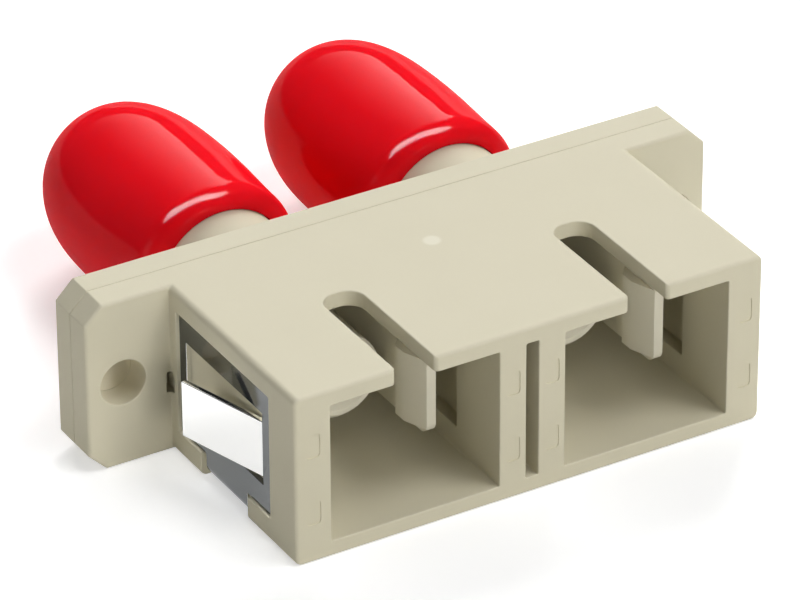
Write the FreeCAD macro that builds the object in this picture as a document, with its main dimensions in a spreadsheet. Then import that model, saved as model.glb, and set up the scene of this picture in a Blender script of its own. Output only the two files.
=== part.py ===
"""Duplex fibre adapter: two square push-pull sockets, two bayonet barrels behind, a screw flange between.

Millimetres. X runs along the flange, Y from the square sockets to the barrels, Z up. The origin is the
middle of the two screw holes, on the front face of the flange, which is the face that meets the panel.
"""
import FreeCAD
import Part
import Sketcher
import math
import os

SIZES = {
    # Front body and flange
    "body_width": 25.6,
    "body_height": 9.1,
    "front_depth": 12.0,
    "body_corner": 0.35,
    "front_edge": 0.2,
    "flange_half": 1.55,
    "flange_chamfer": 0.95,
    "flange_edge": 0.2,
    "screw_spacing": 30.7,
    "screw_hole": 2.4,
    "screw_margin": 1.95,
    # Square ports, with the key slot in the roof and the relief beside the latch arms
    "port_pitch": 12.7,
    "port_width": 9.1,
    "port_height": 7.4,
    "key_width": 2.1,
    "key_length": 7.4,
    "key_corner": 0.9,
    "key_mouth": 0.25,
    "centre_slot_width": 0.68,
    "centre_slot_depth": 8.0,
    "relief_front": 4.0,
    "relief_depth": 0.7,
    "relief_height": 5.0,
    # Latch insert: base plate, sleeve tube and two hooked arms
    "insert_step": 0.4,
    "insert_base": 1.0,
    "insert_fit": 0.04,
    "tube_diameter": 4.4,
    "tube_reach": 5.0,
    "tube_lead": 0.25,
    "arm_offset": 2.7,
    "arm_thickness": 0.5,
    "arm_height": 4.4,
    "arm_reach": 8.4,
    "arm_corner": 0.6,
    "hook_depth": 0.5,
    "hook_height": 3.8,
    "hook_ramp": 1.3,
    "hook_land": 0.8,
    "hook_back": 0.6,
    # Split sleeve and the bores that hold it
    "sleeve_length": 11.4,
    "sleeve_bore": 2.5,
    "sleeve_wall": 0.35,
    "sleeve_slit": 16.0,
    "sleeve_fit": 0.05,
    "sleeve_float": 0.1,
    "ferrule_hole": 2.9,
    # Bayonet barrels
    "barrel_diameter": 6.8,
    "barrel_length": 13.4,
    "barrel_lead": 0.3,
    "plug_bore": 4.95,
    "plug_depth": 8.4,
    "plug_lead": 0.25,
    "notch_width": 1.3,
    "notch_length": 3.0,
    "lug_diameter": 1.9,
    "lug_height": 0.55,
    "lug_setback": 4.5,
    # Dust caps
    "cap_fit": 0.1,
    "cap_wall": 0.96,
    "cap_depth": 10.0,
    "cap_nose": 3.9,
    "cap_lip": 0.24,
    "cap_end_wall": 1.5,
    "cap_seat": 1.2,
    "cap_lug_room": 0.1,
    # Panel clip, and the recess and groove that it sits in
    "clip_thickness": 0.3,
    "clip_bend": 0.25,
    "clip_inset": 0.15,
    "clip_fit": 0.05,
    "recess_gap": 0.6,
    "recess_length": 8.9,
    "recess_drop": 1.15,
    "recess_rise": 1.3,
    "strap_width": 4.0,
    "strap_inset": 0.2,
    "strap_gap": 0.25,
    "window_height": 3.9,
    "window_rear": 0.65,
    "tongue_root": 0.8,
    "tongue_length": 5.1,
    "tongue_height": 3.0,
    "tongue_rise": 1.5,
    # Small pocket in the corner between the flange and each side wall
    "corner_pocket_width": 0.45,
    "corner_pocket_height": 1.1,
    "corner_pocket_drop": 0.75,
    "corner_pocket_depth": 0.8,
    "corner_pocket_front": 0.25,
}

doc = FreeCAD.newDocument("duplex_fibre_adapter")
sheet = doc.addObject("Spreadsheet::Sheet", "sizes")
for row, (alias, number) in enumerate(SIZES.items(), start=1):
    sheet.set(f"A{row}", alias)
    sheet.set(f"B{row}", str(number))
    sheet.setAlias(f"B{row}", alias)
doc.recompute()

# Levels that several pieces share, as expressions on the sheet
SIDE = "sizes.body_width / 2"
TOP = "sizes.body_height / 2"
AXIS = "sizes.port_pitch / 2"
WELD = "sizes.flange_half"
FLANGE_REAR = "(2 * sizes.flange_half)"
BARREL_END = "(2 * sizes.flange_half + sizes.barrel_length)"
SLEEVE_HALF = "(sizes.sleeve_length / 2 + sizes.sleeve_float)"
SLEEVE_ROOM = "(sizes.sleeve_bore / 2 + sizes.sleeve_wall + sizes.sleeve_fit)"
LUG_LEVEL = f"({BARREL_END} - sizes.lug_setback)"
RECESS_LOW = f"(sizes.recess_rise - {TOP})"
RECESS_HIGH = f"({TOP} - sizes.recess_drop)"
RECESS_MIDDLE = "(sizes.recess_gap + sizes.recess_length / 2)"
RECESS_FLOOR = f"({SIDE} - sizes.clip_inset - sizes.clip_thickness)"
GROOVE_ROOF = f"(sizes.strap_inset + sizes.clip_thickness - {TOP})"


def measure(expression):
    """The number that an expression on the sheet gives now."""
    return float(sheet.evalExpression(expression))


def sketch_on(body, role, name, shift="0"):
    """A sketch on one of the body's own origin planes, moved along that plane's normal."""
    plane = next(item for item in body.Origin.OriginFeatures if item.Role == role)
    sketch = body.newObject("Sketcher::SketchObject", name)
    sketch.AttachmentSupport = (plane, "")
    sketch.MapMode = "FlatFace"
    sketch.setExpression("AttachmentOffset.Base.z", shift)
    return sketch


def hold(sketch, kind, geometry, end, expression):
    """Hold one end of a line or arc at an expression's distance from the sketch's origin."""
    rule = Sketcher.Constraint(kind, -1, 1, geometry, end, measure(expression))
    index = sketch.addConstraint(rule)
    sketch.setExpression(f"Constraints[{index}]", expression)


def arc_between(start, end, radius, turn):
    """The short arc from start to end that bends left (turn 1) or right (turn -1)."""
    chord = end - start
    middle = (start + end) * 0.5
    rise = math.sqrt(max(radius ** 2 - (chord.Length / 2) ** 2, 0.0))
    across = FreeCAD.Vector(-chord.y, chord.x, 0).normalize()
    centre = middle + across * (rise * turn)
    outwards = (middle - centre) if rise > 1e-9 else across * -turn
    crown = centre + outwards.normalize() * radius
    return Part.Arc(start, crown, end)


def contour(sketch, stations):
    """A closed outline. A station is (x, y), or (x, y, radius, turn) where an arc leaves it."""
    points = [FreeCAD.Vector(measure(x), measure(y), 0) for x, y, *_ in stations]
    first = sketch.GeometryCount
    ends = []
    for index, (_, _, *arc) in enumerate(stations):
        start, end = points[index], points[(index + 1) % len(points)]
        if not arc:
            sketch.addGeometry(Part.LineSegment(start, end), False)
            ends.append((1, 2))
            continue
        radius, turn = arc
        sketch.addGeometry(arc_between(start, end, measure(radius), turn), False)
        # Sketch arcs run counterclockwise, so one that bends right starts at its second end
        ends.append((1, 2) if turn > 0 else (2, 1))
    for index, (x, y, *arc) in enumerate(stations):
        this, last = first + index, first + (index - 1) % len(stations)
        this_end, last_end = ends[index][0], ends[index - 1][1]
        sketch.addConstraint(Sketcher.Constraint("Coincident", last, last_end, this, this_end))
        hold(sketch, "DistanceX", this, this_end, x)
        hold(sketch, "DistanceY", this, this_end, y)
        if arc:
            rule = sketch.addConstraint(Sketcher.Constraint("Radius", this, measure(arc[0])))
            sketch.setExpression(f"Constraints[{rule}]", arc[0])


def rectangle(sketch, left, right, low, high):
    """A rectangle between two levels each way."""
    contour(sketch, [(left, low), (right, low), (right, high), (left, high)])


def circle(sketch, x, y, diameter):
    """A circle held by its centre and diameter."""
    centre = FreeCAD.Vector(measure(x), measure(y), 0)
    index = sketch.addGeometry(Part.Circle(centre, FreeCAD.Vector(0, 0, 1), measure(diameter) / 2), False)
    hold(sketch, "DistanceX", index, 3, x)
    hold(sketch, "DistanceY", index, 3, y)
    rule = sketch.addConstraint(Sketcher.Constraint("Diameter", index, measure(diameter)))
    sketch.setExpression(f"Constraints[{rule}]", diameter)


def volume_of(body):
    """The volume of what the body holds so far."""
    doc.recompute()
    return body.Tip.Shape.Volume if body.Tip and not body.Tip.Shape.isNull() else 0.0


def feature(body, kind, sketch, length=None, reverse=False, symmetric=False):
    """A Pad or Pocket of a sketch, or a cut through all with no length. It has to change the volume."""
    before = volume_of(body)
    item = body.newObject(f"PartDesign::{kind}", f"{sketch.Name}_{kind.lower()}")
    item.Profile = sketch
    item.Reversed = reverse
    item.SideType = "Symmetric" if symmetric else "One side"
    if length is None:
        item.Type = "ThroughAll"
    else:
        item.setExpression("Length", length)
    change = volume_of(body) - before
    if (change if kind == "Pad" else -change) < 1e-6:
        raise RuntimeError(f"{item.Name} changes nothing")
    return item


def dress(body, kind, size, name, chosen):
    """A Fillet or Chamfer on the edges of the body that the chosen test picks."""
    doc.recompute()
    base = body.Tip
    edges = [f"Edge{index}" for index, edge in enumerate(base.Shape.Edges, start=1) if chosen(edge)]
    if not edges:
        raise RuntimeError(f"{name} finds no edge")
    item = body.newObject(f"PartDesign::{kind}", name)
    item.Base = (base, edges)
    item.setExpression("Radius" if kind == "Fillet" else "Size", size)
    doc.recompute()
    return item


def mirrored(body, name, originals):
    """The same features on the other side of the body's own YZ plane."""
    plane = next(item for item in body.Origin.OriginFeatures if item.Role == "YZ_Plane")
    item = body.newObject("PartDesign::Mirrored", name)
    item.Originals = originals
    item.MirrorPlane = (plane, [""])
    body.Tip = item
    doc.recompute()
    return item


def near(number, expression):
    """Whether a number equals an expression's value."""
    return abs(number - measure(expression)) < 1e-4


def lies_at_y(edge, level):
    """Whether an edge lies whole in the plane across Y at a level."""
    return near(edge.BoundBox.YMin, level) and near(edge.BoundBox.YMax, level)


def new_body(label, x="0"):
    """An empty body, named for its piece and set on its place along the flange."""
    body = doc.addObject("PartDesign::Body", label)
    body.Label = label
    body.setExpression("Placement.Base.x", x)
    return body


def flange_plate(body, name, start):
    """One half of the flange: a plate with cut corners, from the level start to flange_half behind it."""
    end = "(sizes.screw_spacing / 2 + sizes.screw_margin)"
    cut_end = f"({end} - sizes.flange_chamfer)"
    cut_top = f"({TOP} - sizes.flange_chamfer)"
    sketch = sketch_on(body, "XZ_Plane", name, f"-({start})")
    contour(sketch, [
        (f"-{cut_end}", f"-{TOP}"), (cut_end, f"-{TOP}"), (end, f"-{cut_top}"), (end, cut_top),
        (cut_end, TOP), (f"-{cut_end}", TOP), (f"-{end}", cut_top), (f"-{end}", f"-{cut_top}"),
    ])
    return feature(body, "Pad", sketch, "sizes.flange_half", reverse=True)


def screw_holes(body, name, start):
    """The two panel screw holes through one half of the flange."""
    sketch = sketch_on(body, "XZ_Plane", name, f"-({start})")
    for side in ("-", ""):
        circle(sketch, f"{side}sizes.screw_spacing / 2", "0", "sizes.screw_hole")
    return feature(body, "Pocket", sketch)


def front_housing():
    """Moulded front half: square ports, key slots, clip recess and the front half of the flange."""
    body = new_body("front_housing")
    flange_plate(body, "flange_front", "0")
    dress(body, "Fillet", "sizes.flange_edge", "flange_front_edge", lambda edge: lies_at_y(edge, "0"))

    # The body runs through its half of the flange, with rounded long edges
    radius = "sizes.body_corner"
    flat_x, flat_z = f"({SIDE} - {radius})", f"({TOP} - {radius})"
    outline = sketch_on(body, "XZ_Plane", "body_outline", f"-{WELD}")
    contour(outline, [
        (f"-{flat_x}", f"-{TOP}"), (flat_x, f"-{TOP}", radius, 1),
        (SIDE, f"-{flat_z}"), (SIDE, flat_z, radius, 1),
        (flat_x, TOP), (f"-{flat_x}", TOP, radius, 1),
        (f"-{SIDE}", flat_z), (f"-{SIDE}", f"-{flat_z}", radius, 1),
    ])
    feature(body, "Pad", outline, f"sizes.front_depth + {WELD}")
    dress(body, "Fillet", "sizes.front_edge", "front_edges",
          lambda edge: lies_at_y(edge, "-sizes.front_depth"))

    ports = sketch_on(body, "XZ_Plane", "ports", f"-{WELD}")
    seats = sketch_on(body, "XZ_Plane", "insert_seats", f"-{WELD}")
    reliefs = sketch_on(body, "XZ_Plane", "arm_reliefs", f"-{WELD}")
    for side in (f"-{AXIS}", AXIS):
        half, high = "sizes.port_width / 2", "sizes.port_height / 2"
        rectangle(ports, f"{side} - {half}", f"{side} + {half}", f"-{high}", high)
        wide, deep = f"({half} + sizes.insert_step)", f"({high} + sizes.insert_step)"
        rectangle(seats, f"{side} - {wide}", f"{side} + {wide}", f"-{deep}", deep)
        wide, tall = f"({half} + sizes.relief_depth)", "sizes.relief_height / 2"
        rectangle(reliefs, f"{side} - {wide}", f"{side} + {wide}", f"-{tall}", tall)
    feature(body, "Pocket", ports, reverse=True)
    feature(body, "Pocket", seats, "sizes.insert_base", reverse=True)
    feature(body, "Pocket", reliefs, f"{WELD} + sizes.front_depth - sizes.relief_front", reverse=True)

    slot = sketch_on(body, "XZ_Plane", "centre_slot", "sizes.front_depth")
    thin, high = "sizes.centre_slot_width / 2", "sizes.port_height / 2"
    rectangle(slot, f"-{thin}", thin, f"-{high}", high)
    feature(body, "Pocket", slot, "sizes.centre_slot_depth")

    # Each key slot has round inner corners and a mouth that rounds out into the front face
    slots = sketch_on(body, "XY_Plane", "key_slots", TOP)
    for side in (f"-{AXIS}", AXIS):
        left, right = f"{side} - sizes.key_width / 2", f"{side} + sizes.key_width / 2"
        mouth, corner = "sizes.key_mouth", "sizes.key_corner"
        front, back = "-sizes.front_depth", "(sizes.key_length - sizes.front_depth)"
        contour(slots, [
            (f"{left} - {mouth}", front), (f"{right} + {mouth}", front, mouth, -1),
            (right, f"{front} + {mouth}"), (right, f"{back} - {corner}", corner, 1),
            (f"{right} - {corner}", back), (f"{left} + {corner}", back, corner, 1),
            (left, f"{back} - {corner}"), (left, f"{front} + {mouth}", mouth, -1),
        ])
    feature(body, "Pocket", slots, TOP)

    recess = sketch_on(body, "YZ_Plane", "clip_recess", SIDE)
    rear, front = "-sizes.recess_gap", "-(sizes.recess_gap + sizes.recess_length)"
    rectangle(recess, front, rear, RECESS_LOW, RECESS_HIGH)
    recess_cut = feature(body, "Pocket", recess, f"{SIDE} - {RECESS_FLOOR}")
    pocket = sketch_on(body, "XZ_Plane", "corner_pocket", "sizes.corner_pocket_front")
    half = "sizes.corner_pocket_width / 2"
    drop, tall = "sizes.corner_pocket_drop", "sizes.corner_pocket_height / 2"
    rectangle(pocket, f"{SIDE} - {half}", f"{SIDE} + {half}", f"-{drop} - {tall}", f"-{drop} + {tall}")
    pocket_cut = feature(body, "Pocket", pocket, "sizes.corner_pocket_front + sizes.corner_pocket_depth")
    mirrored(body, "clip_recess_mirror", [recess_cut, pocket_cut])

    # The strap groove goes round both lower edges of the body on the clip's own bend
    bend = "sizes.clip_bend"
    groove_half = "(sizes.strap_width / 2 + sizes.strap_gap)"
    groove = sketch_on(body, "XZ_Plane", "strap_groove", f"{RECESS_MIDDLE} - {groove_half}")
    inner = f"({RECESS_FLOOR} - {bend})"
    contour(groove, [
        (f"-{SIDE}", f"-{TOP}"), (SIDE, f"-{TOP}"), (SIDE, RECESS_LOW), (RECESS_FLOOR, RECESS_LOW),
        (RECESS_FLOOR, f"{GROOVE_ROOF} + {bend}", bend, -1), (inner, GROOVE_ROOF),
        (f"-{inner}", GROOVE_ROOF, bend, -1), (f"-{RECESS_FLOOR}", f"{GROOVE_ROOF} + {bend}"),
        (f"-{RECESS_FLOOR}", RECESS_LOW), (f"-{SIDE}", RECESS_LOW),
    ])
    feature(body, "Pocket", groove, f"2 * {groove_half}", reverse=True)
    screw_holes(body, "screw_holes_front", "0")
    return body


def rear_housing():
    """Moulded rear half: the rear half of the flange and the two bayonet barrels."""
    body = new_body("rear_housing")
    flange_plate(body, "flange_rear", WELD)
    dress(body, "Fillet", "sizes.flange_edge", "flange_rear_edge", lambda edge: lies_at_y(edge, FLANGE_REAR))

    barrels = sketch_on(body, "XZ_Plane", "barrels", f"-{FLANGE_REAR}")
    for side in (f"-{AXIS}", AXIS):
        circle(barrels, side, "0", "sizes.barrel_diameter")
    feature(body, "Pad", barrels, "sizes.barrel_length", reverse=True)

    dress(body, "Chamfer", "sizes.barrel_lead", "barrel_leads", lambda edge: lies_at_y(edge, BARREL_END))

    # Two bayonet lugs stand out on opposite sides of each barrel
    lugs = sketch_on(body, "YZ_Plane", "lugs", AXIS)
    circle(lugs, LUG_LEVEL, "0", "sizes.lug_diameter")
    lug_pad = feature(body, "Pad", lugs, "sizes.barrel_diameter + 2 * sizes.lug_height", symmetric=True)
    mirrored(body, "lugs_mirror", [lug_pad])

    plug_bores = sketch_on(body, "XZ_Plane", "plug_bores", f"-{BARREL_END}")
    notches = sketch_on(body, "XZ_Plane", "key_notches", f"-{BARREL_END}")
    sleeve_rooms = sketch_on(body, "XZ_Plane", "sleeve_rooms", f"-{WELD}")
    ferrule_holes = sketch_on(body, "XZ_Plane", "ferrule_holes", f"-{WELD}")
    for side in (f"-{AXIS}", AXIS):
        half = "sizes.notch_width / 2"
        circle(plug_bores, side, "0", "sizes.plug_bore")
        rectangle(notches, f"{side} - {half}", f"{side} + {half}", "0", "sizes.barrel_diameter / 2")
        circle(sleeve_rooms, side, "0", f"2 * {SLEEVE_ROOM}")
        circle(ferrule_holes, side, "0", "sizes.ferrule_hole")
    feature(body, "Pocket", plug_bores, "sizes.plug_depth", reverse=True)
    feature(body, "Pocket", sleeve_rooms, SLEEVE_HALF)
    feature(body, "Pocket", ferrule_holes)

    def bore_edge(edge):
        return edge.Curve.TypeId == "Part::GeomCircle" and lies_at_y(edge, BARREL_END) and \
            near(edge.Curve.Radius, "sizes.plug_bore / 2")

    dress(body, "Chamfer", "sizes.plug_lead", "plug_leads", bore_edge)
    feature(body, "Pocket", notches, "sizes.notch_length", reverse=True)
    screw_holes(body, "screw_holes_rear", WELD)
    return body


def latch_insert(label, x):
    """Moulded insert of one square port: base plate, tube round the sleeve, two hooked spring arms."""
    body = new_body(label, x)
    grow = "(sizes.insert_step - sizes.insert_fit)"
    half, high = f"(sizes.port_width / 2 + {grow})", f"(sizes.port_height / 2 + {grow})"
    base = sketch_on(body, "XZ_Plane", f"{label}_base", f"-{WELD}")
    rectangle(base, f"-{half}", half, f"-{high}", high)
    feature(body, "Pad", base, "sizes.insert_base")
    tube = sketch_on(body, "XZ_Plane", f"{label}_tube", f"-{WELD}")
    circle(tube, "0", "0", "sizes.tube_diameter")
    feature(body, "Pad", tube, f"{WELD} + sizes.tube_reach")

    room = sketch_on(body, "XZ_Plane", f"{label}_room", f"-{WELD}")
    circle(room, "0", "0", f"2 * {SLEEVE_ROOM}")
    feature(body, "Pocket", room, SLEEVE_HALF, reverse=True)
    hole = sketch_on(body, "XZ_Plane", f"{label}_hole", f"-{WELD}")
    circle(hole, "0", "0", "sizes.ferrule_hole")
    feature(body, "Pocket", hole, reverse=True)
    dress(body, "Chamfer", "sizes.tube_lead", f"{label}_lead",
          lambda edge: lies_at_y(edge, "-sizes.tube_reach"))

    # The arm is a flat spring with a rounded tip, and its hook faces the tube
    root = f"({WELD} - sizes.insert_base)"
    tip, tall, corner = "-sizes.arm_reach", "sizes.arm_height / 2", "sizes.arm_corner"
    arm = sketch_on(body, "YZ_Plane", f"{label}_arm", "sizes.arm_offset")
    contour(arm, [
        (root, f"-{tall}"), (root, tall), (f"{tip} + {corner}", tall, corner, 1), (tip, f"{tall} - {corner}"),
        (tip, f"{corner} - {tall}", corner, 1), (f"{tip} + {corner}", f"-{tall}"),
    ])
    arm_pad = feature(body, "Pad", arm, "sizes.arm_thickness")
    hook = sketch_on(body, "XY_Plane", f"{label}_hook")
    face = "sizes.arm_offset"
    crest = f"({face} - sizes.hook_depth)"
    ramp_end = f"({tip} + sizes.hook_ramp)"
    land_end = f"({ramp_end} + sizes.hook_land)"
    contour(hook, [
        (face, tip), (face, f"{land_end} + sizes.hook_back"), (crest, land_end), (crest, ramp_end),
    ])
    hook_pad = feature(body, "Pad", hook, "sizes.hook_height", symmetric=True)
    mirrored(body, f"{label}_mirror", [arm_pad, hook_pad])
    return body


def alignment_sleeve(label, x):
    """Split ceramic sleeve, centred on the weld plane where the two ferrules meet."""
    body = new_body(label, x)
    wall = sketch_on(body, "XY_Plane", f"{label}_wall")
    inner = "sizes.sleeve_bore / 2"
    half = "sizes.sleeve_length / 2"
    rectangle(wall, inner, f"{inner} + sizes.sleeve_wall", f"{WELD} - {half}", f"{WELD} + {half}")
    ring = body.newObject("PartDesign::Revolution", f"{label}_ring")
    ring.Profile = wall
    ring.ReferenceAxis = (wall, ["V_Axis"])
    ring.setExpression("Angle", "360 - sizes.sleeve_slit")
    doc.recompute()
    return body


def panel_clip():
    """One folded piece of spring steel: two side plates with lanced tongues and a strap under the body."""
    body = new_body("panel_clip")
    thick, bend, fit = "sizes.clip_thickness", "sizes.clip_bend", "sizes.clip_fit"
    inner, outer = RECESS_FLOOR, f"({RECESS_FLOOR} + {thick})"
    roof, under = GROOVE_ROOF, f"({GROOVE_ROOF} - {thick})"
    top = f"({RECESS_HIGH} - {fit})"
    inner_flat = f"({inner} - {bend})"
    sheet_section = sketch_on(body, "XZ_Plane", "clip_section", f"sizes.recess_gap + {fit}")
    bend_top = f"({roof} + {bend})"
    contour(sheet_section, [
        (f"-{inner_flat}", under), (inner_flat, under, f"{bend} + {thick}", 1),
        (outer, bend_top), (outer, top), (inner, top), (inner, bend_top, bend, -1),
        (inner_flat, roof), (f"-{inner_flat}", roof, bend, -1),
        (f"-{inner}", bend_top), (f"-{inner}", top), (f"-{outer}", top),
        (f"-{outer}", bend_top, f"{bend} + {thick}", 1),
    ])
    feature(body, "Pad", sheet_section, f"sizes.recess_length - 2 * {fit}")

    # The strap is narrower than the plates
    rear, front = f"(-sizes.recess_gap - {fit})", f"({fit} - sizes.recess_gap - sizes.recess_length)"
    trim = sketch_on(body, "XY_Plane", "clip_trim", under)
    strap_half = "sizes.strap_width / 2"
    rectangle(trim, f"-{outer}", outer, front, f"-{RECESS_MIDDLE} - {strap_half}")
    rectangle(trim, f"-{outer}", outer, f"-{RECESS_MIDDLE} + {strap_half}", rear)
    feature(body, "Pocket", trim, f"{RECESS_LOW} + {fit} - {under}", reverse=True)

    middle = f"(({RECESS_LOW} + {RECESS_HIGH}) / 2)"
    root = f"({front} + sizes.tongue_root)"
    window = sketch_on(body, "YZ_Plane", "clip_window")
    tall = "sizes.window_height / 2"
    rectangle(window, root, f"{rear} - sizes.window_rear", f"{middle} - {tall}", f"{middle} + {tall}")
    feature(body, "Pocket", window, symmetric=True)

    # Each tongue leaves the front band of its plate and leans out towards the flange
    tongue = sketch_on(body, "XY_Plane", "clip_tongue", middle)
    tip = f"({root} + sizes.tongue_length)"
    rise = "sizes.tongue_rise"
    contour(tongue, [
        (inner, root), (outer, root), (f"{outer} + {rise}", tip), (f"{inner} + {rise}", tip),
    ])
    tongue_pad = feature(body, "Pad", tongue, "sizes.tongue_height", symmetric=True)
    mirrored(body, "clip_tongue_mirror", [tongue_pad])
    return body


def dust_cap(label, x):
    """Push-on cap: a thick wall with a rounded lip and a half-round end, seated on the barrel's end face."""
    body = new_body(label, x)
    bore = "(sizes.barrel_diameter / 2 + sizes.cap_fit)"
    outside = f"({bore} + sizes.cap_wall)"
    core = f"({bore} - sizes.cap_seat)"
    lip = f"({BARREL_END} - sizes.cap_depth)"
    end = f"({BARREL_END} + sizes.cap_nose)"
    # The lip rounds from the bore to the side wall in two tapers, and the end is a half sphere as wide as
    # the wall. A seat inside rests on the barrel's end face, with a narrower hollow behind it
    wall = sketch_on(body, "XY_Plane", f"{label}_wall")
    ease = "sizes.cap_lip"
    contour(wall, [
        (bore, lip), (f"{outside} - {ease}", f"{lip} + {ease}"), (outside, f"{lip} + sizes.cap_wall"),
        (outside, f"{end} - {outside}", outside, 1), ("0", end), ("0", f"{end} - sizes.cap_end_wall"),
        (core, f"{end} - sizes.cap_end_wall"), (core, BARREL_END), (bore, BARREL_END),
    ])
    shell = body.newObject("PartDesign::Revolution", f"{label}_shell")
    shell.Profile = wall
    shell.ReferenceAxis = (wall, ["V_Axis"])
    shell.setExpression("Angle", "360")

    # Two channels inside let the cap slide straight over the bayonet lugs
    channels = sketch_on(body, "XZ_Plane", f"{label}_channels", f"-{lip}")
    room = "sizes.cap_lug_room"
    reach = f"(sizes.barrel_diameter / 2 + sizes.lug_height + {room})"
    half = f"(sizes.lug_diameter / 2 + {room})"
    rectangle(channels, f"-{reach}", reach, f"-{half}", half)
    feature(body, "Pocket", channels, f"{LUG_LEVEL} + {half} - {lip}")
    return body


pieces = [front_housing(), rear_housing(), panel_clip()]
for name, place in (("left", f"-{AXIS}"), ("right", AXIS)):
    pieces.append(latch_insert(f"latch_insert_{name}", place))
    pieces.append(alignment_sleeve(f"alignment_sleeve_{name}", place))
    pieces.append(dust_cap(f"dust_cap_{name}", place))
doc.recompute()

for item in doc.Objects:
    if "Invalid" in item.State or "Error" in item.State:
        raise RuntimeError(f"{item.Name} failed: {item.State}")
for piece in pieces:
    if piece.Shape.isNull() or not piece.Shape.isValid() or len(piece.Shape.Solids) != 1:
        raise RuntimeError(f"{piece.Label} is not one valid solid")

os.makedirs("parts", exist_ok=True)
for piece in pieces:
    piece.Shape.exportStep(f"parts/{piece.Label}.step")
    box = piece.Shape.BoundBox
    size = f"{box.XLength:.2f} by {box.YLength:.2f} by {box.ZLength:.2f}"
    print(f"{piece.Label}: {piece.Shape.Volume:.2f} mm3, {size}")
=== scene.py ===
import bmesh
import bpy
import math
import numpy as np
from mathutils import Matrix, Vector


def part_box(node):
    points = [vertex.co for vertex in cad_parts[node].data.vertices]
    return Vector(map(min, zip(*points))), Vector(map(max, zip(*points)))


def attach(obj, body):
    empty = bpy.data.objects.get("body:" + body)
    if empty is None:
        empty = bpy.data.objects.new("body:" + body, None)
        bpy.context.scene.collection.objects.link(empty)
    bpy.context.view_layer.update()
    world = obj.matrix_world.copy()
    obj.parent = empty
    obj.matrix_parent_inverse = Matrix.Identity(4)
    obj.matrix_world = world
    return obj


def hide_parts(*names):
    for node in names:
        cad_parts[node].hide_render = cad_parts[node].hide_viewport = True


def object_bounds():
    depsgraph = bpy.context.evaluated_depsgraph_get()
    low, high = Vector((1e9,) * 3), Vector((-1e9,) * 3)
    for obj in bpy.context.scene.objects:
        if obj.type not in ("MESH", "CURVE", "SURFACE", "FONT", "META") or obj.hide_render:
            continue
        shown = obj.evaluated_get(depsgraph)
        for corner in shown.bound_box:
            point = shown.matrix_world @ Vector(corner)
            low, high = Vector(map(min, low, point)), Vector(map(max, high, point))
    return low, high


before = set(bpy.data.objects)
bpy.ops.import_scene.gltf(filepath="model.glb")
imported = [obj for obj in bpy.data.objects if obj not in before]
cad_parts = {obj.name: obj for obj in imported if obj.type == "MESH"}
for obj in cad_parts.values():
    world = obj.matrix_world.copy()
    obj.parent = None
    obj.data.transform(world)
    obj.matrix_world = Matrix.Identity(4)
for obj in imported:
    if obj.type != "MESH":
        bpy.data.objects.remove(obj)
cad_box = [list(corner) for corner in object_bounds()]


# Front housing: the half with the two square sockets, the key slots and the front of the screw flange.
# One injection moulding in filled beige plastic, welded to the rear housing along the middle of the flange.
# Its front webs keep shallow marks of the ejector blades, and its top a paler spot where the gate was cut.
def set_out(name, data):
    """An object at the origin that carries a mesh, a lamp or a camera, put into the scene."""
    thing = bpy.data.objects.new(name, data)
    bpy.context.scene.collection.objects.link(thing)
    return thing


def merged_copy(node, name):
    """A piece on a CAD node's own surface, its loose triangles joined and the flat ones gathered whole.

    The faces stay cut along the planes X = 0 and Z = 0, so that none has a hole in it. The normals that
    came with the triangles no longer fit, so they are left behind.
    """
    touching, flat = 2e-6, math.radians(0.5)
    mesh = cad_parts[node].data.copy()
    mesh.name = name
    mesh.materials.clear()
    work = bmesh.new()
    work.from_mesh(mesh)
    bmesh.ops.remove_doubles(work, verts=work.verts, dist=touching)
    for across in ((1, 0, 0), (0, 0, 1)):
        whole = work.verts[:] + work.edges[:] + work.faces[:]
        cut = bmesh.ops.bisect_plane(work, geom=whole, dist=touching, plane_co=(0, 0, 0), plane_no=across)
        for part in cut["geom_cut"]:
            if isinstance(part, bmesh.types.BMEdge):
                part.seam = True
    bmesh.ops.dissolve_limit(work, angle_limit=flat, verts=work.verts, edges=work.edges, delimit={"SEAM"})
    work.to_mesh(mesh)
    work.free()
    carried = mesh.attributes.get("custom_normal")
    if carried:
        mesh.attributes.remove(carried)
    mesh.shade_smooth()
    return set_out(name, mesh)


def worked_out(piece):
    """The piece's mesh with its modifiers carried out, so that a later step can build on it."""
    graph = bpy.context.evaluated_depsgraph_get()
    mesh = bpy.data.meshes.new_from_object(piece.evaluated_get(graph))
    piece.modifiers.clear()
    piece.data = mesh


def eased_edges(piece, width, held_back):
    """A narrow round along each edge sharper than 30 degrees, as a mould or a tumbler leaves it.

    Held back, it shrinks on the whole piece as far as the closest two edges need.
    """
    ease = piece.modifiers.new("eased_edges", "BEVEL")
    ease.width = width
    ease.segments = 2
    ease.limit_method = "ANGLE"
    ease.angle_limit = math.radians(30)
    ease.miter_outer = "MITER_ARC"
    ease.use_clamp_overlap = held_back
    worked_out(piece)


def flat_faces_flat(piece):
    """Flat stretches gathered into whole faces, then corner normals weighted by area.

    Large faces then shade flat, and only the rounds between them bend. The weights are worked out on the
    mesh in millimetres, because areas in square metres are too small.
    """
    flat, crease, millimetres = math.radians(0.2), math.radians(50), 1000
    work = bmesh.new()
    work.from_mesh(piece.data)
    bmesh.ops.dissolve_limit(work, angle_limit=flat, verts=work.verts, edges=work.edges)
    work.to_mesh(piece.data)
    work.free()
    piece.data.set_sharp_from_angle(angle=crease)
    piece.data.transform(Matrix.Scale(millimetres, 4))
    weighted = piece.modifiers.new("flat_faces_flat", "WEIGHTED_NORMAL")
    weighted.weight = 50
    weighted.keep_sharp = True
    worked_out(piece)
    piece.data.transform(Matrix.Scale(1 / millimetres, 4))


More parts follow.
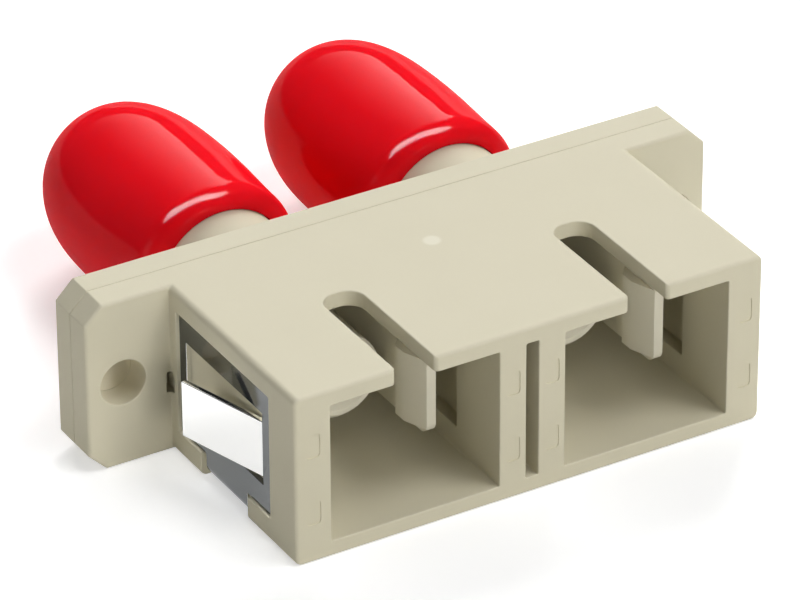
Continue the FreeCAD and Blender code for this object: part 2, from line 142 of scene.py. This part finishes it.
def closed_mesh(name, points, faces):
    """A mesh with its doubled points merged, so that poles and seams close, and its faces turned outwards."""
    touching = 1e-7
    mesh = bpy.data.meshes.new(name)
    mesh.from_pydata(points, [], faces)
    work = bmesh.new()
    work.from_mesh(mesh)
    bmesh.ops.remove_doubles(work, verts=work.verts, dist=touching)
    bmesh.ops.recalc_face_normals(work, faces=work.faces)
    work.to_mesh(mesh)
    work.free()
    return mesh


def blade_marks(places, width, height, depth, face_y):
    """Pockets in a front face: rings that are superellipses of power 6 in X and Z, carried along Y."""
    power, around = 6, 32
    turn = np.linspace(0, 2 * np.pi, around, endpoint=False)
    ring_x = np.sign(np.cos(turn)) * np.abs(np.cos(turn)) ** (2 / power) * width / 2
    ring_z = np.sign(np.sin(turn)) * np.abs(np.sin(turn)) ** (2 / power) * height / 2
    levels = np.array([face_y - depth, face_y + depth])
    places = np.asarray(places)
    shape = (len(places), len(levels), around)
    points = np.stack([
        np.broadcast_to(places[:, None, None, 0] + ring_x, shape),
        np.broadcast_to(levels[:, None], shape),
        np.broadcast_to(places[:, None, None, 1] + ring_z, shape),
    ], axis=-1)
    index = np.arange(points[..., 0].size).reshape(shape)
    ahead = np.roll(index, -1, axis=2)
    walls = np.stack([index[:, 0], ahead[:, 0], ahead[:, 1], index[:, 1]], axis=-1).reshape(-1, 4)
    ends = np.concatenate([index[:, 0, ::-1], index[:, 1]])
    mesh = closed_mesh("blade_marks", points.reshape(-1, 3), walls.tolist() + ends.tolist())
    return set_out("blade_marks", mesh)


def cut_away(piece, cutter):
    """The piece's eased mesh less the cutter's, worked out once; the cutter is then removed."""
    cut = piece.modifiers.new("cut", "BOOLEAN")
    cut.object = cutter
    cut.solver = "EXACT"
    worked_out(piece)
    bpy.data.objects.remove(cutter)


def new_finish(name):
    """A material with its nodes in use, and the tree that holds them."""
    finish = bpy.data.materials.new(name)
    finish.use_nodes = True
    return finish, finish.node_tree


def noise_on(tree, place, scale, detail):
    """Soft noise, read at a place on the piece."""
    noise = tree.nodes.new("ShaderNodeTexNoise")
    noise.inputs["Scale"].default_value = scale
    noise.inputs["Detail"].default_value = detail
    tree.links.new(place, noise.inputs["Vector"])
    return noise.outputs["Fac"]


def two_tones(tree, pattern, first, second):
    """The base colour goes from the first tone to the second as the pattern rises."""
    tone = tree.nodes.new("ShaderNodeMix")
    tone.data_type = "RGBA"
    tone.inputs["A"].default_value = (*first, 1)
    tone.inputs["B"].default_value = (*second, 1)
    tree.links.new(pattern, tone.inputs["Factor"])
    tree.links.new(tone.outputs["Result"], tree.nodes["Principled BSDF"].inputs["Base Color"])


def uneven_skin(tree, pattern, span, gloss, satin, strength, height):
    """The roughness goes from gloss to satin as the pattern rises through its span, over a faint bump."""
    shader = tree.nodes["Principled BSDF"]
    sheen = tree.nodes.new("ShaderNodeMapRange")
    sheen.inputs["From Min"].default_value = span[0]
    sheen.inputs["From Max"].default_value = span[1]
    sheen.inputs["To Min"].default_value = gloss
    sheen.inputs["To Max"].default_value = satin
    relief = tree.nodes.new("ShaderNodeBump")
    relief.inputs["Strength"].default_value = strength
    relief.inputs["Distance"].default_value = height
    tree.links.new(pattern, sheen.inputs["Value"])
    tree.links.new(sheen.outputs["Result"], shader.inputs["Roughness"])
    tree.links.new(pattern, relief.inputs["Height"])
    tree.links.new(relief.outputs["Normal"], shader.inputs["Normal"])


def moulded_plastic(name, pale, deep, gloss, satin, grain):
    """Mottling a few millimetres across between two tones, under a fine grain in the gloss and the bump."""
    finish, tree = new_finish(name)
    tree.nodes["Principled BSDF"].inputs["Specular IOR Level"].default_value = 0.06
    place = tree.nodes.new("ShaderNodeTexCoord").outputs["Object"]
    mottle = noise_on(tree, place, scale=260, detail=5)
    fine = noise_on(tree, place, scale=grain, detail=3)
    two_tones(tree, mottle, deep, pale)
    uneven_skin(tree, fine, (0.3, 0.7), gloss, satin, strength=0.35, height=0.000006)
    return finish


def gate_spot(finish, centre, radius, pale):
    """A paler spot: the distance from its centre, eased over the radius, mixes a lighter tone in."""
    tree = finish.node_tree
    base = tree.nodes["Principled BSDF"].inputs["Base Color"]
    ground = base.links[0].from_socket
    place = tree.nodes.new("ShaderNodeTexCoord")
    away = tree.nodes.new("ShaderNodeVectorMath")
    away.operation = "DISTANCE"
    away.inputs[1].default_value = centre
    full_share = 0.55
    fade = tree.nodes.new("ShaderNodeMapRange")
    fade.interpolation_type = "SMOOTHSTEP"
    fade.inputs["From Min"].default_value = radius * full_share
    fade.inputs["From Max"].default_value = radius
    fade.inputs["To Min"].default_value = 0.6
    fade.inputs["To Max"].default_value = 0.0
    spot = tree.nodes.new("ShaderNodeMix")
    spot.data_type = "RGBA"
    spot.inputs["B"].default_value = (*pale, 1)
    tree.links.new(place.outputs["Object"], away.inputs[0])
    tree.links.new(away.outputs["Value"], fade.inputs["Value"])
    tree.links.new(fade.outputs["Result"], spot.inputs["Factor"])
    tree.links.new(ground, spot.inputs["A"])
    tree.links.new(spot.outputs["Result"], base)


front = merged_copy("front_housing", "front_housing_moulding")
front_low, front_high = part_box("front_housing")
eased_edges(front, width=0.00007, held_back=False)
web_across, web_levels = (0.01185, 0.00107), (0.0018, -0.00185)
web_places = [(side * across, level) for side in (-1, 1) for across in web_across for level in web_levels]
marks = blade_marks(web_places, width=0.00078, height=0.00128, depth=0.00005, face_y=front_low.y)
cut_away(front, marks)
flat_faces_flat(front)
housing_plastic = moulded_plastic(
    "housing_plastic", pale=(0.675, 0.630, 0.475), deep=(0.650, 0.605, 0.450),
    gloss=0.50, satin=0.62, grain=5200)
gate_place = (0.00002, -0.0027, front_high.z)
gate_spot(housing_plastic, gate_place, radius=0.00055, pale=(0.80, 0.77, 0.64))
front.data.materials.append(housing_plastic)
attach(front, "adapter")
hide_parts("front_housing")


# Rear housing: the other half of the flange with the two bayonet barrels, their lugs and their plug bores.
# The same beige moulding, joined to the front half by a weld that shows as a fine line round the flange.
rear = merged_copy("rear_housing", "rear_housing_moulding")
eased_edges(rear, width=0.00004, held_back=False)
flat_faces_flat(rear)
rear.data.materials.append(housing_plastic)
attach(rear, "adapter")
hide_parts("rear_housing")


# Latch inserts: a moulding in each socket, with a base plate, a tube round the sleeve and two hooked arms.
# Unfilled plastic, paler and smoother than the housing, trapped between the two halves when they are welded.
# Part of the paleness is painted light: the tone is lifted to stand in for the light that falls on the arms.
latch_plastic = moulded_plastic(
    "latch_plastic", pale=(0.830, 0.790, 0.650), deep=(0.800, 0.760, 0.620),
    gloss=0.34, satin=0.44, grain=7000)
for side in ("left", "right"):
    insert = merged_copy(f"latch_insert_{side}", f"latch_insert_moulding_{side}")
    eased_edges(insert, width=0.00006, held_back=True)
    flat_faces_flat(insert)
    insert.data.materials.append(latch_plastic)
    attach(insert, "adapter")
    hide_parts(f"latch_insert_{side}")


# Alignment sleeves: a split tube of ground ceramic in each channel, which brings the two ferrules end to end.
# Each floats in the room between the insert's tube and the barrel, held in by the small lips at both ends.
sleeve_ceramic = moulded_plastic(
    "sleeve_ceramic", pale=(0.90, 0.90, 0.86), deep=(0.86, 0.86, 0.81),
    gloss=0.16, satin=0.24, grain=9000)
for side in ("left", "right"):
    sleeve = merged_copy(f"alignment_sleeve_{side}", f"alignment_sleeve_ground_{side}")
    eased_edges(sleeve, width=0.00003, held_back=True)
    flat_faces_flat(sleeve)
    sleeve.data.materials.append(sleeve_ceramic)
    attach(sleeve, "adapter")
    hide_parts(f"alignment_sleeve_{side}")


# Panel clip: a strip of bright spring steel folded round the underside, with a tongue lanced in each side.
# Rolled, blanked and bent in one piece, and sprung into the recess and the groove of the front housing.
def painted_highlight_faces(piece, plate_x):
    """A number per face that places the painted highlight: one on the tongues and on edges cut across Y, and
    nought elsewhere.

    The tongues are what stands further out along X than the side plates.
    """
    mostly = 0.7
    faces = piece.data.polygons
    middle, facing = np.empty(3 * len(faces)), np.empty(3 * len(faces))
    faces.foreach_get("center", middle)
    faces.foreach_get("normal", facing)
    outside = np.abs(middle.reshape(-1, 3)[:, 0]) > plate_x
    across = np.abs(facing.reshape(-1, 3)[:, 1]) > mostly
    mark = piece.data.attributes.new("painted_highlight", "FLOAT", "FACE")
    mark.data.foreach_set("value", (outside | across).astype(np.float32))


def rolled_steel(name, painted_shade_tone, bright):
    """Metal with fine rolling lines, drawn-out noise in the gloss and a faint bump, and two tones.

    The two tones are painted reflection: the flat sheet is painted a dull grey for the shaded floor that it
    mirrors, and the tongues and the cut edges are painted bright as a highlight.
    """
    finish, tree = new_finish(name)
    tree.nodes["Principled BSDF"].inputs["Metallic"].default_value = 1.0
    place = tree.nodes.new("ShaderNodeTexCoord")
    drawn = tree.nodes.new("ShaderNodeMapping")
    drawn.inputs["Scale"].default_value = (9000, 500, 9000)
    tree.links.new(place.outputs["Object"], drawn.inputs["Vector"])
    lines = noise_on(tree, drawn.outputs["Vector"], scale=1, detail=4)
    painted_highlight = tree.nodes.new("ShaderNodeAttribute")
    painted_highlight.attribute_name = "painted_highlight"
    # Painted reflection: the dull tone stands in for shade mirrored in the sheet, the bright tone for a
    # highlight.
    two_tones(tree, painted_highlight.outputs["Fac"], painted_shade_tone, bright)
    uneven_skin(tree, lines, (0, 1), gloss=0.05, satin=0.10, strength=0.15, height=0.000002)
    return finish


clip = merged_copy("panel_clip", "panel_clip_sheet")
eased_edges(clip, width=0.00004, held_back=True)
flat_faces_flat(clip)
# Painted highlight on the tongues and the cut edges, painted shade on the rest of the sheet.
painted_highlight_faces(clip, plate_x=0.01270)
spring_steel = rolled_steel("spring_steel", painted_shade_tone=(0.148, 0.156, 0.160), bright=(0.86, 0.86, 0.85))
clip.data.materials.append(spring_steel)
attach(clip, "adapter")
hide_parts("panel_clip")


# Dust caps: soft glossy vinyl, dipped on a mandrel, with a thick rounded lip and a domed end.
# Each is pushed over its barrel and the lugs until the seat inside meets the barrel's end face.
def cap_surface(axis_x, lip_y, lug_y, seat_y, end_y, outside, bore):
    """A surface of revolution about Y, from the outer pole round the lip to the inner pole.

    The outside follows a superellipse of power 2.6 over the dome, then flares slightly to the lip, which is a
    quarter of an ellipse. Beside the two lugs the soft wall bulges, by a squared cosine along the axis and
    another round it, and the bore widens. The hollow past the seat ends in a cone.
    """
    dome_rings, wall_rings, lip_rings, bore_rings, around = 40, 14, 18, 40, 160
    dome, power, dome_share, lip_round = 0.0060, 2.6, 0.993, 0.0011
    lift = np.linspace(0, np.pi / 2, dome_rings)
    dome_r = outside * dome_share * np.sin(lift) ** (2 / power)
    dome_y = end_y - dome + dome * np.cos(lift) ** (2 / power)
    wall_r = outside * np.linspace(dome_share, 1, wall_rings)[1:]
    wall_y = np.linspace(end_y - dome, lip_y + lip_round, wall_rings)[1:]
    bend = np.linspace(0, np.pi / 2, lip_rings)[1:]
    lip_r = bore + (outside - bore) * np.cos(bend)
    lip_rim_y = lip_y + lip_round * (1 - np.sin(bend))
    bore_y = np.linspace(lip_y, seat_y, bore_rings)[1:]
    bore_r = np.full(bore_y.shape, bore)
    seat_ring, core_draft, core_length, end_wall = 0.0012, 0.0001, 0.0014, 0.0015
    core_r = np.array([bore - seat_ring, bore - seat_ring - core_draft, 0.0])
    core_y = np.array([seat_y, seat_y + core_length, end_y - end_wall])
    along_r = np.concatenate([dome_r, wall_r, lip_r, bore_r, core_r])
    along_y = np.concatenate([dome_y, wall_y, lip_rim_y, bore_y, core_y])
    inside = np.arange(len(along_r)) >= len(dome_r) + len(wall_r) + len(lip_r)
    turn = np.linspace(0, 2 * np.pi, around, endpoint=False)
    channel_depth, channel_cosine, side_run = 0.00055, 0.955, 0.012
    channel = np.clip((np.abs(np.cos(turn)) - channel_cosine) / side_run, 0, 1)
    channel_start, run_in = lip_y + 0.0007, 0.0005
    channel_end, run_out = lug_y + 0.0012, 0.0003
    reach = np.clip((along_y - channel_start) / run_in, 0, 1)
    reach *= np.clip((channel_end - along_y) / run_out, 0, 1)
    bulge_height, bulge_middle, bulge_half = 0.00036, lug_y + 0.001, 0.0065
    bulge = np.cos(np.pi / 2 * np.clip((along_y - bulge_middle) / bulge_half, -1, 1)) ** 2
    radius = along_r[:, None] + channel_depth * (inside * reach)[:, None] * channel
    radius += bulge_height * (~inside * bulge * along_r / outside)[:, None] * np.cos(turn) ** 2
    points = np.stack([
        axis_x + radius * np.cos(turn),
        np.broadcast_to(along_y[:, None], radius.shape),
        radius * np.sin(turn),
    ], axis=-1)
    index = np.arange(radius.size).reshape(radius.shape)
    ahead = np.roll(index, -1, axis=1)
    faces = np.stack([index[:-1], index[1:], ahead[1:], ahead[:-1]], axis=-1)
    return points.reshape(-1, 3), faces.reshape(-1, 4).tolist()


def glossy_vinyl(name, deep, clear):
    """Clear red with slow drifts of tone, and a slightly uneven skin that makes the reflections waver."""
    finish, tree = new_finish(name)
    shader = tree.nodes["Principled BSDF"]
    shader.inputs["Specular IOR Level"].default_value = 0.0
    shader.inputs["Coat Weight"].default_value = 0.10
    shader.inputs["Coat Roughness"].default_value = 0.03
    shader.inputs["Subsurface Weight"].default_value = 0.35
    shader.inputs["Subsurface Radius"].default_value = (1.0, 0.12, 0.10)
    shader.inputs["Subsurface Scale"].default_value = 0.0014
    place = tree.nodes.new("ShaderNodeTexCoord").outputs["Object"]
    drift = noise_on(tree, place, scale=220, detail=3)
    two_tones(tree, drift, deep, clear)
    uneven_skin(tree, drift, (0, 1), gloss=0.07, satin=0.15, strength=0.10, height=0.00006)
    return finish


cap_red = glossy_vinyl("cap_red", deep=(0.88, 0.0065, 0.0140), clear=(0.94, 0.0085, 0.0175))
barrel_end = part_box("rear_housing")[1].y
lug_setback, cap_bore = 0.0045, 0.00345
for side in ("left", "right"):
    low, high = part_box(f"dust_cap_{side}")
    points, faces = cap_surface(
        (low.x + high.x) / 2, lip_y=low.y, lug_y=barrel_end - lug_setback, seat_y=barrel_end,
        end_y=high.y, outside=(high.x - low.x) / 2, bore=cap_bore)
    cap = set_out(f"dust_cap_vinyl_{side}", closed_mesh(f"dust_cap_vinyl_{side}", points, faces))
    cap.data.shade_smooth()
    cap.data.set_sharp_from_angle(angle=math.radians(50))
    cap.data.materials.append(cap_red)
    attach(cap, f"cap_{side}")
    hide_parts(f"dust_cap_{side}")


# Studio: a sheet of white paper under the housing, lit by a graded screen behind, a soft box at the right and
# fills from the front and the left. A strip overhead and a card behind show only in the gloss.
# All stand well back, so that the paper is evenly white and keeps only the part's own soft shadow.
def arithmetic(tree, operation, first, second):
    """One step of arithmetic on two values, each of them a socket to follow or a plain number."""
    step = tree.nodes.new("ShaderNodeMath")
    step.operation = operation
    for socket, given in zip(step.inputs, (first, second)):
        if isinstance(given, float):
            socket.default_value = given
        else:
            tree.links.new(given, socket)
    return step.outputs["Value"]


def white_paper(name, lift):
    """Matt white, lifted by a glow where the camera, a reflection or glass sees it; the shadow stays."""
    finish, tree = new_finish(name)
    tree.nodes.clear()
    matt = tree.nodes.new("ShaderNodeBsdfDiffuse")
    matt.inputs["Color"].default_value = (0.80, 0.80, 0.80, 1)
    ray = tree.nodes.new("ShaderNodeLightPath").outputs
    seen = arithmetic(tree, "MAXIMUM", ray["Is Camera Ray"], ray["Is Glossy Ray"])
    shown = arithmetic(tree, "MAXIMUM", seen, ray["Is Transmission Ray"])
    glow = tree.nodes.new("ShaderNodeEmission")
    tree.links.new(arithmetic(tree, "MULTIPLY", shown, lift), glow.inputs["Strength"])
    both = tree.nodes.new("ShaderNodeAddShader")
    out = tree.nodes.new("ShaderNodeOutputMaterial")
    tree.links.new(matt.outputs["BSDF"], both.inputs[0])
    tree.links.new(glow.outputs["Emission"], both.inputs[1])
    tree.links.new(both.outputs["Shader"], out.inputs["Surface"])
    return finish


def standing_off(towards, distance):
    """The place of a thing that stands off from the part in one direction and faces it, its sides level."""
    aim = np.array(towards) / np.linalg.norm(towards)
    across = np.cross((0, 0, 1), aim)
    across /= np.linalg.norm(across)
    turned = Matrix(np.stack([across, np.cross(aim, across), aim], 1).tolist()).to_4x4()
    return Matrix.Translation(aim * distance) @ turned


def soft_box(name, towards, distance, width, height, glow):
    """A rectangular lamp that faces the part; its power is the glow times pi times its area."""
    lamp = bpy.data.lights.new(name, "AREA")
    lamp.shape = "RECTANGLE"
    lamp.size = width
    lamp.size_y = height
    lamp.energy = glow * math.pi * width * height
    box = set_out(name, lamp)
    box.matrix_world = standing_off(towards, distance)
    return box


def graded_screen(name, towards, distance, width, height, bright):
    """A lit screen that faces the part; its glow grows by the power 2.5 of the way from one side across."""
    mesh = bpy.data.meshes.new(name)
    corners = np.array([(1, -1, 0), (-1, -1, 0), (-1, 1, 0), (1, 1, 0)]) * (width / 2, height / 2, 0)
    mesh.from_pydata(corners, [], [(0, 1, 2, 3)])
    mesh.transform(standing_off(towards, distance))
    mesh.uv_layers.new(name="way")
    mesh.uv_layers["way"].uv.foreach_set("vector", [0, 0, 1, 0, 1, 1, 0, 1])
    finish, tree = new_finish(name)
    tree.nodes.clear()
    way = tree.nodes.new("ShaderNodeTexCoord")
    split = tree.nodes.new("ShaderNodeSeparateXYZ")
    tree.links.new(way.outputs["UV"], split.inputs["Vector"])
    growth = arithmetic(tree, "POWER", split.outputs["X"], 2.5)
    glow = tree.nodes.new("ShaderNodeEmission")
    out = tree.nodes.new("ShaderNodeOutputMaterial")
    tree.links.new(arithmetic(tree, "MULTIPLY", growth, bright), glow.inputs["Strength"])
    tree.links.new(glow.outputs["Emission"], out.inputs["Surface"])
    mesh.materials.append(finish)
    return set_out(name, mesh)


half, paper_z = 4, cad_box[0][2]
floor_mesh = bpy.data.meshes.new("floor")
corners = [(-half, -half, paper_z), (half, -half, paper_z), (half, half, paper_z), (-half, half, paper_z)]
floor_mesh.from_pydata(corners, [], [(0, 1, 2, 3)])
floor_mesh.materials.append(white_paper("white_paper", lift=0.48))
floor = set_out("floor", floor_mesh)
away = 2.0
screen = graded_screen("back_screen", (0.22, 0.76, 0.60), away, width=1.9, height=1.2, bright=18.5)
soft_box("right_soft_box", (0.33, -0.33, 0.88), away, width=0.8, height=0.7, glow=9.5)
strip = soft_box("overhead_strip", (-0.045, -0.075, 1.0), away, width=3.4, height=0.9, glow=80.0)
strip.visible_diffuse = False
card = soft_box("back_card", (0.66, 0.74, 0.02), away, width=1.6, height=0.42, glow=2.2)
card.visible_diffuse = False
soft_box("front_fill", (0.0, -0.98, 0.21), away, width=1.2, height=0.6, glow=6.8)
soft_box("left_fill", (-0.95, 0.15, 0.26), away, width=0.8, height=0.6, glow=3.2)
sky = bpy.data.worlds.new("studio")
sky.use_nodes = True
sky.node_tree.nodes["Background"].inputs["Color"].default_value = (1, 1, 1, 1)
sky.node_tree.nodes["Background"].inputs["Strength"].default_value = 0.05
bpy.context.scene.world = sky
bpy.context.scene.view_settings.view_transform = "Standard"


# Camera: the photograph's place and long lens, worked out from the corners of the part.
# It looks down 31 degrees from the left of the sockets, with a trace of roll.
lens = bpy.data.cameras.new("camera")
lens.sensor_width = 36
lens.lens = 266.556
lens.clip_start = 0.01
azimuth, elevation, roll = math.radians(-30.215), math.radians(30.875), math.radians(-0.321)
distance, aim = 0.286931, (-0.000186, 0, -0.000095)
back = (
    math.sin(azimuth) * math.cos(elevation),
    -math.cos(azimuth) * math.cos(elevation),
    math.sin(elevation),
)
camera = set_out("camera", lens)
camera.matrix_world = (
    Matrix.Translation(aim) @ standing_off(back, distance) @ Matrix.Rotation(roll, 4, "Z"))
bpy.context.scene.camera = camera
